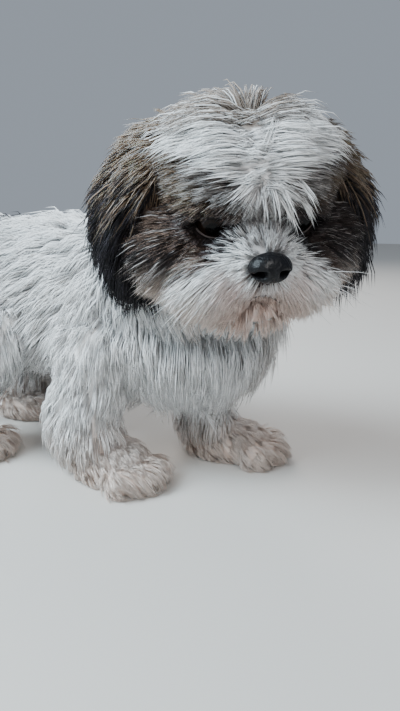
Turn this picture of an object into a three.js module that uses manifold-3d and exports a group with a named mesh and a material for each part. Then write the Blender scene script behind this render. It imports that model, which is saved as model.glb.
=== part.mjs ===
// A shih tzu puppy about nine weeks old, life size, standing on four paws with its head lowered and turned to
// its right. Millimetres, +Z up, +X to the dog's left, -Y ahead of it, the floor at Z = 0.
import * as THREE from "three";
import { mergeVertices } from "three/addons/utils/BufferGeometryUtils.js";
import Module from "manifold-3d";

const wasm = await Module();
wasm.setup();
const V = (x, y, z) => new THREE.Vector3(x, y, z);
const { degToRad, lerp, seededRandom, smoothstep } = THREE.MathUtils;

// Driving dimensions
const GAP = 0.35; // between neighbouring pieces
const HEAD_TURN = degToRad(41); // to the dog's right
const HEAD_DOWN = degToRad(33); // below level
const HEAD_TILT = degToRad(3); // crown towards the dog's left
const HEAD_AT = V(-26, -117, 153); // middle of the skull
const EYE = { r: 8, apart: 32, ahead: 19, up: -4, lid: 2.4 };
const NOSE_WIDTH = 17;
const COAT = { torso: 14, neck: 14, crown: 10, cheek: 11, face: 3, jaw: 9, ear: 9, leg: 9, paw: 5, tail: 12 };
const CORE = 0.5; // how much of the coat's depth is solid under the locks
const ROOT = 3; // how far a lock is sunk into the core
const TIDY = 0.03; // faces are merged where the surface moves less than this

// The head's own axes: side is to its left, ahead is along the muzzle, up is through the crown.
const level = V(-Math.sin(HEAD_TURN), -Math.cos(HEAD_TURN), 0);
const ahead = level.multiplyScalar(Math.cos(HEAD_DOWN)).setZ(-Math.sin(HEAD_DOWN));
const side = V(Math.cos(HEAD_TURN), -Math.sin(HEAD_TURN), 0).applyAxisAngle(ahead, HEAD_TILT);
const up = ahead.clone().cross(side);

// A direction and a point given in the head's own axes, and a point's place in them.
const headDir = (s, a, u) => V(0, 0, 0).addScaledVector(side, s).addScaledVector(ahead, a).addScaledVector(up, u);
const headAt = (s, a, u) => headDir(s, a, u).add(HEAD_AT);
const inHead = (p) => {
  const d = p.clone().sub(HEAD_AT);
  return V(d.dot(side), d.dot(ahead), d.dot(up));
};

// A rounded form: rings of an egg-shaped section along a middle line. Each station is
// [middle, half width, height above, height below, tilt], and the ends close in a point.
class Form {
  constructor(stations, across = V(1, 0, 0), over = V(0, 0, 1)) {
    this.across = across;
    this.over = over;
    this.axis = across.clone().cross(over);
    this.line = new THREE.CatmullRomCurve3(stations.map((s) => s[0]), false, "centripetal");
    this.sizes = stations.map((s) => [s[1], s[2], s[3], s[4] ?? 0]);
  }
  // Half width, height above, height below and tilt at t, smoothed between the stations.
  size(t) {
    const last = this.sizes.length - 1;
    const x = Math.min(t * last, last - 1e-6);
    const i = Math.floor(x);
    const f = x - i;
    const at = (k, n) => this.sizes[Math.min(Math.max(k, 0), last)][n];
    return [0, 1, 2, 3].map((n) => {
      const [p, q, r, s] = [at(i - 1, n), at(i, n), at(i + 1, n), at(i + 2, n)];
      const [m0, m1] = [(r - p) / 2, (s - q) / 2];
      const [f2, f3] = [f * f, f * f * f];
      const y = (2 * f3 - 3 * f2 + 1) * q + (f3 - 2 * f2 + f) * m0 + (3 * f2 - 2 * f3) * r + (f3 - f2) * m1;
      return n < 3 ? Math.max(y, 0) : y;
    });
  }
  // The point at t along and angle a round, 0 at the side and a quarter turn at the top.
  place([t, a], height = 0) {
    const [w, top, bottom, tilt] = this.size(t);
    const over = this.over.clone().multiplyScalar(Math.cos(tilt)).addScaledVector(this.axis, Math.sin(tilt));
    const rise = Math.sin(a) > 0 ? top : bottom;
    return this.line
      .getPoint(t)
      .addScaledVector(this.across, (w + height) * Math.cos(a))
      .addScaledVector(over, (rise + height) * Math.sin(a));
  }
  // Where a move over the surface leads from t and a.
  step([t, a], move) {
    const d = 1e-3;
    const here = this.place([t, a]);
    const along = this.place([t + d, a]).sub(here).divideScalar(d);
    const round = this.place([t, a + d]).sub(here).divideScalar(d);
    const [aa, ar, rr] = [along.dot(along), along.dot(round), round.dot(round)];
    const [ma, mr] = [move.dot(along), move.dot(round)];
    const det = aa * rr - ar * ar;
    const next = t + (ma * rr - mr * ar) / det;
    return [Math.min(Math.max(next, 0.04), 0.96), a + (mr * aa - ma * ar) / det];
  }
  normal([t, a]) {
    return this.place([t, a], 1).sub(this.place([t, a], 0)).normalize();
  }
  // Whether a point lies in the form grown by a height.
  holds(p, height) {
    for (let t = 0.04; t < 1; t += 0.04) {
      const off = p.clone().sub(this.line.getPoint(t));
      if (Math.abs(off.dot(this.line.getTangent(t))) > this.line.getLength() * 0.03) continue;
      const a = Math.atan2(off.dot(this.over), off.dot(this.across));
      if (off.length() < this.place([t, a], height).distanceTo(this.line.getPoint(t))) return true;
    }
    return false;
  }
  geometry(along, round, grow) {
    const points = [this.line.getPoint(0).addScaledVector(this.line.getTangent(0), -grow)];
    for (let i = 1; i < along; i++)
      for (let j = 0; j < round; j++) points.push(this.place([i / along, (2 * Math.PI * j) / round], grow));
    points.push(this.line.getPoint(1).addScaledVector(this.line.getTangent(1), grow));
    return ringed(points, along, round);
  }
}

// How sharply masses meet: the power of their soft maximum
const SOFT = 12;

// Rounded masses that melt into one, seen from a centre inside them all. Each mass is
// [side, ahead, up, and its three radii] in the head's axes, and a place is a direction there.
class Masses {
  constructor(centre, masses) {
    this.centre = V(...centre);
    this.masses = masses.map((m) => [V(m[0], m[1], m[2]), V(m[3], m[4], m[5])]);
  }
  // How far the surface is from the centre: a soft maximum over the masses.
  reach(dir) {
    let sum = 0;
    for (const [middle, radii] of this.masses) {
      const from = this.centre.clone().sub(middle).divide(radii);
      const along = dir.clone().divide(radii);
      const [a, b, c] = [along.dot(along), from.dot(along), from.dot(from) - 1];
      const root = b * b - a * c;
      if (root > 0) sum += Math.max((-b + Math.sqrt(root)) / a, 0) ** SOFT;
    }
    return sum ** (1 / SOFT);
  }
  place(dir, height = 0) {
    const p = this.centre.clone().addScaledVector(dir, this.reach(dir) + height);
    return headAt(p.x, p.y, p.z);
  }
  step(dir, move) {
    return inHead(this.place(dir).add(move)).sub(this.centre).normalize();
  }
  normal(dir) {
    return headDir(dir.x, dir.y, dir.z);
  }
  holds(p, height) {
    const off = inHead(p).sub(this.centre);
    return off.length() < this.reach(off.clone().normalize()) + height;
  }
  // Rings round the muzzle's axis, with the coat's depth at each place.
  geometry(along, round, depth) {
    const points = [];
    for (let i = 0; i <= along; i++) {
      const fall = (Math.PI * i) / along;
      for (let j = 0; j < (i % along ? round : 1); j++) {
        const turn = (2 * Math.PI * j) / round;
        const dir = V(Math.sin(fall) * Math.cos(turn), Math.cos(fall), Math.sin(fall) * Math.sin(turn));
        points.push(this.place(dir, depth(dir)));
      }
    }
    return ringed(points, along, round);
  }
}

// A closed surface from its first point, its rings and its last point.
function ringed(points, along, round) {
  const faces = [];
  const at = (i, j) => 1 + (i - 1) * round + (j % round);
  for (let j = 0; j < round; j++) {
    faces.push(0, at(1, j + 1), at(1, j));
    for (let i = 1; i < along - 1; i++) {
      faces.push(at(i, j), at(i, j + 1), at(i + 1, j));
      faces.push(at(i + 1, j), at(i, j + 1), at(i + 1, j + 1));
    }
    faces.push(points.length - 1, at(along - 1, j), at(along - 1, j + 1));
  }
  return shape(points, faces);
}

function shape(points, faces) {
  const g = new THREE.BufferGeometry().setFromPoints(points);
  g.setIndex(faces);
  return g;
}

// A closed mesh as a solid, turned right side out if need be.
function solid(geometry) {
  const bare = geometry.clone();
  bare.deleteAttribute("normal");
  bare.deleteAttribute("uv");
  const merged = mergeVertices(bare, 1e-4);
  const vertProperties = merged.attributes.position.array;
  const make = (triVerts) => new wasm.Manifold(new wasm.Mesh({ numProp: 3, vertProperties, triVerts }));
  const tri = new Uint32Array(merged.index.array);
  const made = make(tri);
  return made.volume() > 0 ? made : make(tri.reverse());
}

const join = (solids) => wasm.Manifold.union(solids);

const sphere = (segments) => new THREE.SphereGeometry(1, segments, Math.round(segments * 0.7));

// A ball whose three radii lie along the head's side, ahead and up.
function headBall(s, a, u, rs, ra, ru, segments = 12) {
  const basis = new THREE.Matrix4().makeBasis(side, ahead, up).setPosition(headAt(s, a, u));
  return solid(sphere(segments).scale(rs, ra, ru).applyMatrix4(basis));
}

// A lock of hair: a flat blade with four edges that tapers to a tip. It rises from under the core
// and bends over along the lie of the coat. Its rings are [share of the length, width, depth].
const SHARPEST = 1.5; // the most that a lock may bend, in radians
const RINGS = [
  [0, 0.7, 0],
  [0.36, 1, 0.72],
  [0.72, 0.72, 0.95],
];
function lock(surface, state, lie, { coat, width, length, stand = 0 }, g) {
  const steps = 6;
  const path = [{ state, out: surface.normal(state), way: lie }];
  for (let i = 0; i < steps; i++) {
    const from = path[i];
    const flat = from.way.clone().addScaledVector(from.out, -from.way.dot(from.out)).normalize();
    const next = surface.step(from.state, flat.multiplyScalar(length / steps));
    path.push({ state: next, out: surface.normal(next), way: lie });
  }
  const sample = (share, depth) => {
    const x = share * steps;
    const i = Math.min(Math.floor(x), steps - 1);
    const height = share ? coat * depth : coat * CORE - ROOT;
    return surface.place(path[i].state, height).lerp(surface.place(path[i + 1].state, height), x - i);
  };
  const points = [];
  const tip = sample(1, 1 + stand);
  const middles = RINGS.map(([share, , depth]) => sample(share, depth + stand * share));
  const [first, last] = [middles[1].clone().sub(middles[0]), tip.clone().sub(middles[2])];
  if (first.angleTo(last) > SHARPEST || last.length() < length * 0.15) return [];
  RINGS.forEach(([share, wide], k) => {
    const toward = (middles[k + 1] ?? tip).clone().sub(middles[k]).normalize();
    const out = path[Math.round(share * steps)].out;
    const across = toward.clone().cross(out).normalize();
    const over = across.clone().cross(toward).normalize();
    const half = (width / 2) * wide + g;
    const thick = (width / 6) * wide + g;
    if (k === 0) middles[0].addScaledVector(toward, -g);
    points.push(middles[k].clone().addScaledVector(across, half));
    points.push(middles[k].clone().addScaledVector(over, thick));
    points.push(middles[k].clone().addScaledVector(across, -half));
    points.push(middles[k].clone().addScaledVector(over, -thick));
    if (k === 2) points.push(tip.addScaledVector(toward, 2 * g));
  });
  const faces = [0, 2, 1, 0, 3, 2];
  for (let j = 0; j < 4; j++) {
    const n = (j + 1) % 4;
    for (const base of [0, 4]) {
      faces.push(base + j, base + n, base + 4 + j);
      faces.push(base + 4 + j, base + n, base + 4 + n);
    }
    faces.push(8 + j, 8 + n, 12);
  }
  return [solid(shape(points, faces))];
}

// Rows of locks round a form, each row set off from the last and each lock varied a little. Locks
// that would reach into a neighbour, grown by its height, are left out.
function coatOf(form, { rows, round, from, to, seed, keep = () => true, lie, neighbours = [], ...look }, g) {
  seededRandom(seed);
  const widest = Math.max(...form.sizes.map((s) => s[0] + s[1]));
  const locks = [];
  for (let i = 0; i < rows; i++) {
    const t = from + ((to - from) * (i + 0.5)) / rows;
    const [w, top] = form.size(t);
    const count = Math.max(Math.round((round * (w + top)) / widest), 4);
    for (let j = 0; j < count; j++) {
      const wander = [seededRandom() - 0.5, seededRandom() - 0.5, seededRandom() - 0.5, seededRandom()];
      const a = (2 * Math.PI * (j + (i % 2) / 2 + wander[0] * 0.4)) / count;
      const state = [t + (wander[1] * 0.5 * (to - from)) / rows, a];
      const p = form.place(state);
      if (!keep(p, state)) continue;
      const way = lie(p, state).applyAxisAngle(form.normal(state), wander[2] * 0.35);
      const length = look.length * (0.85 + 0.3 * wander[3]);
      const reach = form.place(form.step(state, way.clone().multiplyScalar(length * 0.6)), look.coat * 0.8);
      if (neighbours.some(([other, height]) => other.holds(reach, height))) continue;
      locks.push(...lock(form, state, way, { ...look, length }, g));
    }
  }
  return locks;
}

// Torso: rings from the breast back to the rump
const torsoForm = new Form([
  [V(13, -101, 90), 0, 0, 0],
  [V(12, -94, 90), 26, 26, 27],
  [V(6, -74, 90), 38, 40, 42],
  [V(0, -46, 92), 39, 48, 43],
  [V(-5, -14, 93), 38, 43, 41],
  [V(-13, 16, 94), 38, 42, 38],
  [V(-22, 42, 94), 36, 40, 35],
  [V(-28, 57, 95), 30, 35, 32],
  [V(-31, 66, 96), 18, 22, 20],
  [V(-33, 70, 97), 0, 0, 0],
]);

// Neck: from between the shoulders up and round to the back of the skull
const neckAxis = headAt(0, -14, -8).sub(V(0, -58, 100)).normalize();
const neckSide = neckAxis.clone().cross(V(0, 0, 1)).normalize();
const neckForm = new Form(
  [
    [V(3, -46, 100), 0, 0, 0],
    [V(2, -54, 106), 36, 43, 36],
    [V(0, -72, 117), 38, 43, 38],
    [V(-8, -90, 129), 37, 38, 36],
    [headAt(2, -14, -8), 31, 29, 28],
    [headAt(0, -4, -6), 0, 0, 0],
  ],
  neckSide,
  neckSide.clone().cross(neckAxis),
);

// Head: skull, muzzle, cheeks and the pads that carry the moustache
const both = (s, ...rest) => [[-s, ...rest], [s, ...rest]];
const headMasses = new Masses(
  [0, 9, -8],
  [
    [0, -2, 0, 35, 32, 26],
    [0, 27, -14, 16, 19, 13],
    ...both(24, 12, -22, 19, 17, 18),
    ...both(13, 31, -24, 16, 12, 13),
  ],
);

// The coat is deep on the crown and cheeks and short round the eyes and on the bridge of the nose.
function headCoat(dir) {
  const p = inHead(headMasses.place(dir));
  const eyes = Math.min(...both(EYE.apart / 2, EYE.ahead + 5, EYE.up).map((e) => p.distanceTo(V(...e))));
  const bridge = p.distanceTo(V(0, 42, -6));
  const bare = smoothstep(Math.min(eyes - 7, bridge - 12), 0, 14);
  return lerp(COAT.face, p.z > 0 ? COAT.crown : COAT.cheek, bare);
}

// On the brow the hair parts at one place and falls away from it; below, it falls away from the nose.
function headLie(p) {
  const q = inHead(p);
  const from = q.z > -2 ? V(0, 24, 15) : V(0, 42, -2);
  const d = q.sub(from);
  return headDir(d.x, d.y, d.z).normalize();
}

const jawForm = new Form(
  [
    [headAt(0, 0, -41), 0, 0, 0],
    [headAt(0, 6, -42), 24, 9, 7],
    [headAt(0, 18, -43), 25, 10, 7],
    [headAt(0, 30, -41), 20, 10, 7],
    [headAt(0, 38, -38), 12, 7, 6],
    [headAt(0, 41, -37), 0, 0, 0],
  ],
  side,
  up,
);

// Ears: flaps that hang from high on the skull's side, out and down
const earForm = (s) =>
  new Form(
    [
      [headAt(s * 24, -12, 18), 0, 0, 0],
      [headAt(s * 32, -12, 12), 14, 7, 7],
      [headAt(s * 43, -10, -2), 18, 8, 8],
      [headAt(s * 47, -6, -17), 19, 8, 9],
      [headAt(s * 46, 0, -33), 16, 7, 8],
      [headAt(s * 43, 6, -46), 0, 0, 0],
    ],
    ahead,
    side,
  );

const earForms = { [-1]: earForm(-1), 1: earForm(1) };

// A leg's column from the shoulder or thigh down to the paw
const legForm = (at) => new Form(at, V(1, 0, 0), V(0, -1, 0));
const legs = {
  foreleg_right: legForm([
    [V(-27, -40, 94), 0, 0, 0],
    [V(-29, -37, 84), 17, 19, 20],
    [V(-32, -31, 62), 17, 18, 19],
    [V(-36, -26, 40), 15, 16, 20],
    [V(-35, -27, 20), 13, 14, 19],
    [V(-32, -32, 8), 0, 0, 0],
  ]),
  foreleg_left: legForm([
    [V(26, -58, 94), 0, 0, 0],
    [V(26, -58, 84), 17, 19, 20],
    [V(26, -58, 62), 15, 17, 17],
    [V(27, -58, 40), 12, 14, 14],
    [V(29, -60, 20), 12, 13, 16],
    [V(33, -66, 8), 0, 0, 0],
  ]),
  hindleg_right: legForm([
    [V(-46, 34, 100), 0, 0, 0],
    [V(-50, 36, 88), 14, 26, 24],
    [V(-54, 40, 66), 14, 26, 24],
    [V(-58, 52, 44), 13, 17, 18],
    [V(-60, 66, 24), 12, 13, 13],
    [V(-60, 66, 8), 0, 0, 0],
  ]),
  hindleg_left: legForm([
    [V(2, 50, 100), 0, 0, 0],
    [V(4, 53, 88), 14, 26, 24],
    [V(7, 59, 66), 14, 26, 24],
    [V(10, 72, 44), 13, 17, 18],
    [V(10, 86, 24), 12, 13, 13],
    [V(9, 86, 8), 0, 0, 0],
  ]),
};

// Paws: where each stands and how far it turns out
const PAWS = {
  forepaw_right: { at: V(-30, -39, 0), turn: degToRad(2) },
  forepaw_left: { at: V(35, -74, 0), turn: degToRad(-12) },
  hindpaw_right: { at: V(-60, 60, 0), turn: degToRad(-18) },
  hindpaw_left: { at: V(9, 80, 0), turn: degToRad(-26) },
};
const TOE = { apart: 7.5, reach: 21, r: 8.6, up: 6 };

// The tail hangs low behind the rump
const tailForm = new Form([
  [V(-27, 52, 104), 0, 0, 0, -0.2],
  [V(-30, 64, 105), 8, 7, 7, -0.3],
  [V(-34, 81, 99), 8, 7, 7, -0.6],
  [V(-37, 92, 85), 7, 6, 6, -0.9],
  [V(-40, 100, 68), 6, 5, 5, -1.1],
  [V(-42, 106, 52), 0, 0, 0, -1.1],
]);

// A box that takes away all that would lie under the floor
const underFloor = solid(new THREE.BoxGeometry(600, 600, 100).translate(0, 0, -50));

function paw({ at, turn }, g) {
  const upright = V(0, 0, 1);
  const fore = V(0, -1, 0).applyAxisAngle(upright, -turn);
  const out = V(1, 0, 0).applyAxisAngle(upright, -turn);
  const place = (s, f, z) => at.clone().addScaledVector(out, s).addScaledVector(fore, f).setZ(z);
  const form = new Form(
    [
      [place(0, -28, 7), 0, 0, 0],
      [place(0, -24, 8), 12, 9, 9],
      [place(0, -8, 10), 16, 14, 11],
      [place(0, 8, 9), 17, 11, 10],
      [place(0, 19, 7), 14, 6, 8],
      [place(0, 23, 6), 0, 0, 0],
    ],
    out,
    upright,
  );
  const pieces = [solid(form.geometry(7, 10, COAT.paw * CORE + g))];
  for (const k of [-1.5, -0.5, 0.5, 1.5]) {
    const reach = TOE.reach - 2.2 * k * k;
    const toe = place(k * TOE.apart, reach, TOE.up);
    pieces.push(solid(sphere(8).scale(TOE.r + g, TOE.r + g, TOE.r + g).translate(toe.x, toe.y, toe.z)));
    const claw = new THREE.ConeGeometry(1.8 + g, 8 + g, 5).rotateX(Math.PI / 2 + 0.55).rotateZ(Math.PI - turn);
    const tip = place(k * TOE.apart, reach + TOE.r + 1, TOE.up - 2);
    pieces.push(solid(claw.translate(tip.x, tip.y, tip.z)));
  }
  const keep = (p) => p.z > 9;
  const lie = () => fore.clone().multiplyScalar(0.8).add(V(0, 0, -0.6));
  const look = { coat: COAT.paw, width: 11, length: 18, stand: 0.2 };
  pieces.push(...coatOf(form, { rows: 1, round: 6, from: 0.2, to: 0.6, seed: 5, keep, lie, ...look }, g));
  return join(pieces);
}

const eyeball = (s, g) => headBall((s * EYE.apart) / 2, EYE.ahead, EYE.up, EYE.r + g, EYE.r + g, EYE.r + g, 10);

// The almond between the upper and the lower lid
const lidOpening = (s) => headBall(s * (EYE.apart / 2 + 1.5), EYE.ahead + 10, EYE.up - 0.5, 7.6, 7, 5);

const nose = (g) =>
  join([
    headBall(0, 45.5, -8, NOSE_WIDTH / 2 + g, 5 + g, 5.6 + g),
    headBall(0, 45.5, -12, NOSE_WIDTH / 3 + g, 4.6 + g, 5 + g, 8),
  ])
    .subtract(headBall(-4.6, 50, -10, 2.1 - g, 3 - g, 1.5 - g, 6))
    .subtract(headBall(4.6, 50, -10, 2.1 - g, 3 - g, 1.5 - g, 6));

// Locks at places spread evenly over the head, smaller towards the eyes and the nose
function headLocks(g) {
  seededRandom(11);
  const count = 54;
  const locks = [];
  for (let i = 0; i < count; i++) {
    const high = 1 - (2 * (i + 0.5)) / count;
    const turn = i * Math.PI * (3 - Math.sqrt(5));
    const ring = Math.sqrt(1 - high * high);
    const dir = V(ring * Math.cos(turn), high, ring * Math.sin(turn));
    const depth = headCoat(dir);
    const wander = [seededRandom() - 0.5, seededRandom()];
    const q = inHead(headMasses.place(dir));
    if (depth < COAT.face + 2.5 || q.y < -16) continue;
    const way = headLie(headMasses.place(dir)).applyAxisAngle(headMasses.normal(dir), wander[0] * 0.4);
    const long = lerp(0.6, 1, smoothstep(depth, COAT.face, COAT.crown));
    const look = { coat: depth, width: 17 * long, length: (26 + 5 * wander[1]) * long, stand: 0.1 };
    const reach = headMasses.place(dir, depth).addScaledVector(way, look.length * 0.6);
    if ([earForms[-1], earForms[1], neckForm].some((other) => other.holds(reach, 3))) continue;
    locks.push(...lock(headMasses, dir, way, look, g));
  }
  return locks;
}

function head(g) {
  const core = solid(headMasses.geometry(13, 16, (dir) => headCoat(dir) * CORE + g));
  return join([core, eyeball(-1, EYE.lid + g), eyeball(1, EYE.lid + g), ...headLocks(g)])
    .subtract(lidOpening(-1))
    .subtract(lidOpening(1));
}

const hang = () => V(0, 0, -1);
function ear(s, g) {
  const core = solid(earForms[s].geometry(7, 8, COAT.ear * CORE + g));
  const keep = (p, [, a]) => Math.sin(a) * s > -0.4;
  const rows = { rows: 3, round: 5, from: 0.22, to: 0.84, seed: 21, keep };
  const look = { coat: COAT.ear, width: 17, length: 28, stand: 0.1, lie: hang };
  return join([core, ...coatOf(earForms[s], { ...rows, ...look }, g)]);
}

// The lie of the coat on each part of the body
const torsoLie = (p) => V(0, lerp(-0.1, 1, smoothstep(p.y, -80, 0)), -0.8).normalize();
const neckLie = (p) => V(0.1, lerp(0, 0.9, smoothstep(p.z, 120, 160)), -0.8).normalize();
const legLie = () => V(0, 0.15, -1).normalize();
const tailLie = () => V(-0.1, 0.4, -0.9).normalize();
const jawLie = () => headDir(0, -0.15, -1).normalize();

function torso(g) {
  const core = solid(torsoForm.geometry(13, 14, COAT.torso * CORE + g));
  const rows = { rows: 5, round: 8, from: 0.14, to: 0.9, seed: 31, neighbours: [[neckForm, 10], [headMasses, 8]] };
  const look = { coat: COAT.torso, width: 26, length: 40, lie: torsoLie };
  return join([core, ...coatOf(torsoForm, { ...rows, ...look }, g)]);
}

function neck(g) {
  const core = solid(neckForm.geometry(7, 14, COAT.neck * CORE + g));
  const rows = { rows: 2, round: 8, from: 0.3, to: 0.66, seed: 41 };
  const neighbours = [[headMasses, 10], [jawForm, 8], [earForms[1], 6], [earForms[-1], 6], [torsoForm, 8]];
  const look = { coat: COAT.neck, width: 24, length: 36, lie: neckLie };
  return join([core, ...coatOf(neckForm, { ...rows, ...look, neighbours }, g)]);
}

function tail(g) {
  const core = solid(tailForm.geometry(7, 7, COAT.tail * CORE + g));
  const rows = { rows: 3, round: 4, from: 0.3, to: 0.85, seed: 51, neighbours: [[torsoForm, 10]] };
  const look = { coat: COAT.tail, width: 15, length: 28, lie: tailLie };
  return join([core, ...coatOf(tailForm, { ...rows, ...look }, g)]);
}

function jaw(g) {
  const core = solid(jawForm.geometry(6, 9, COAT.jaw * CORE + g));
  const keep = (p, [, a]) => Math.sin(a) < 0;
  const rows = { rows: 2, round: 7, from: 0.3, to: 0.95, seed: 61, keep, neighbours: [[neckForm, -4]] };
  const look = { coat: COAT.jaw, width: 13, length: 18, lie: jawLie };
  return join([core, ...coatOf(jawForm, { ...rows, ...look }, g)]);
}

function leg(name, g) {
  const form = legs[name];
  const core = solid(form.geometry(8, 8, COAT.leg * CORE + g));
  const round = name.startsWith("hind") ? 4 : 5;
  const rows = { rows: 3, round, from: 0.26, to: 0.82, seed: 71, neighbours: [[torsoForm, 10]] };
  const look = { coat: COAT.leg, width: 20, length: 29, lie: legLie };
  return join([core, ...coatOf(form, { ...rows, ...look }, g)]);
}

// Each piece as it is, and as the room that it needs: the same form a gap larger all round
const pieceOf = {
  nose,
  eye_right: (g) => eyeball(-1, g),
  eye_left: (g) => eyeball(1, g),
  ear_right: (g) => ear(-1, g),
  ear_left: (g) => ear(1, g),
  head,
  jaw,
  neck,
  torso,
  tail,
};
for (const name of Object.keys(PAWS)) pieceOf[name] = (g) => paw(PAWS[name], g);
for (const name of Object.keys(legs)) pieceOf[name] = (g) => leg(name, g);

const COLOURS = {
  nose: 0x1c1a1d,
  eye: 0x120c0a,
  ear: 0x5a4334,
  head: 0xe6e2dc,
  jaw: 0xe4d8cc,
  torso: 0xeeecea,
  neck: 0xeeecea,
  tail: 0x6b5548,
  paw: 0xf0e4da,
  leg: 0xeeeae6,
};

// The largest closed surface of a solid: loose scraps and sealed hollows are left out.
function outerSurface(made) {
  const surfaces = made.decompose().sort((a, b) => b.volume() - a.volume());
  const { vertProperties, triVerts, numProp } = surfaces[0].getMesh();
  const points = [];
  for (let i = 0; i < vertProperties.length; i += numProp)
    points.push(V(vertProperties[i], vertProperties[i + 1], vertProperties[i + 2]));
  const geometry = mergeVertices(shape(points, Array.from(triVerts)), 1e-4);
  return surfaces.length > 1 ? outerSurface(solid(geometry)) : geometry;
}

function meshOf(name, geometry) {
  const kind = Object.keys(COLOURS).find((k) => name.includes(k));
  const material = new THREE.MeshStandardMaterial({ color: COLOURS[kind], roughness: 0.8, metalness: 0 });
  const mesh = new THREE.Mesh(geometry, material);
  mesh.name = name;
  return mesh;
}

// Pieces earlier in the list stay whole, and each later one is cut clear of them.
const group = new THREE.Group();
const taken = [];
for (const [name, make] of Object.entries(pieceOf)) {
  let made = make(0).subtract(underFloor);
  for (const room of taken) made = made.subtract(room);
  const geometry = outerSurface(made.simplify(TIDY));
  taken.push(join([solid(outerSurface(make(GAP))), solid(geometry)]));
  group.add(meshOf(name, geometry));
}

// The origin is the middle of the underside of everything.
const bounds = new THREE.Box3().setFromObject(group);
const middle = bounds.getCenter(V(0, 0, 0));
for (const mesh of group.children) mesh.geometry.translate(-middle.x, -middle.y, -bounds.min.z);

export default group;
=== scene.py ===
import math

import bpy
import numpy as np
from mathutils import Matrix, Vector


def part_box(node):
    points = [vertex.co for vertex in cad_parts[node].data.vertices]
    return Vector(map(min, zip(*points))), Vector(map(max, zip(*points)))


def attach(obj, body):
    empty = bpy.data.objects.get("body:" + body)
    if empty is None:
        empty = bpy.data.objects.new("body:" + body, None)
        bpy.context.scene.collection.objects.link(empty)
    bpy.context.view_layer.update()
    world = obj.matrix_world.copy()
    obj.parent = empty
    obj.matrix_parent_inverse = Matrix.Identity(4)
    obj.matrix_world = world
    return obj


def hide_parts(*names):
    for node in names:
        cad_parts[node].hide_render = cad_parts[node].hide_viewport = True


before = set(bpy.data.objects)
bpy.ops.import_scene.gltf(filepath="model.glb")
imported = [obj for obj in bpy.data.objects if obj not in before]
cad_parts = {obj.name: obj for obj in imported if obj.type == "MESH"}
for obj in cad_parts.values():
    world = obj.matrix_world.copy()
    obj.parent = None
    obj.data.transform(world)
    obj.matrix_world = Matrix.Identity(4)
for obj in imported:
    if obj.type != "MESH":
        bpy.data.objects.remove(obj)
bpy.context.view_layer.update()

# A young shih tzu, life size. Shapes are worked out in millimetres in the frame of its body: +X to its
# left, -Y ahead of it, +Z up, the floor at Z = 0. to_row moves each piece's points to the row's frame.

rng = np.random.default_rng(19)
MM = 0.001


def unit(v):
    """Each vector divided by its length."""
    v = np.asarray(v, float)
    return v / np.maximum(np.linalg.norm(v, axis=-1, keepdims=True), 1e-9)


def norm(v):
    """Each vector's length."""
    return np.linalg.norm(v, axis=-1)


def angles(n):
    """n angles evenly round a circle."""
    return np.arange(n) * 2 * math.pi / n


def smooth(x, low, high):
    """0 below low, 1 above high, and a smooth rise between them."""
    f = np.clip((x - low) / (high - low), 0, 1)
    return f * f * (3 - 2 * f)


def ripple(p, scale, seed):
    """A soft wandering value from -1 to 1: five sines along random directions, summed."""
    r = np.random.default_rng(seed)
    total = 0
    for k in range(5):
        way = unit(r.normal(size=3))
        turns = p @ way * (2 * math.pi / scale) * (0.7 + 0.4 * k)
        total = total + np.sin(turns + r.uniform(0, 6)) / (1 + 0.5 * k)
    return np.clip(total / 2.2, -1, 1)


def columns(x, y, z):
    """Three columns, each one number or one for each point, as rows of three."""
    return np.stack(np.broadcast_arrays(x, y, z), -1)


# The head's own axes: side to its left, ahead along the muzzle, up through the crown
HEAD_TURN, HEAD_DOWN, HEAD_TILT = math.radians(41), math.radians(33), math.radians(3)
HEAD_AT = np.array([-26.0, -117.0, 153.0])
FLAT = math.cos(HEAD_DOWN)
AHEAD = np.array([-math.sin(HEAD_TURN) * FLAT, -math.cos(HEAD_TURN) * FLAT, -math.sin(HEAD_DOWN)])
LEVEL = np.array([math.cos(HEAD_TURN), -math.sin(HEAD_TURN), 0.0])
SIDE = LEVEL * math.cos(HEAD_TILT) + np.cross(AHEAD, LEVEL) * math.sin(HEAD_TILT)
UP = np.cross(AHEAD, SIDE)
HEAD_AXES = np.array([SIDE, AHEAD, UP])

# The eyeballs' radius, and how far to the side, ahead and up the left one's middle lies in the head
EYE_R, EYE_S, EYE_A, EYE_U = 8.0, 16.0, 19.0, -4.0


def head_at(q):
    """Points given in the head's axes, in the body's frame."""
    return np.asarray(q, float) @ HEAD_AXES + HEAD_AT


def in_head(p):
    """Points of the body's frame, in the head's axes."""
    return (np.asarray(p, float) - HEAD_AT) @ HEAD_AXES.T


eye_low, eye_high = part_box("eye_left")
OFFSET = (np.array(eye_low) + np.array(eye_high)) / 2 / MM - head_at([EYE_S, EYE_A, EYE_U])


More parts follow.
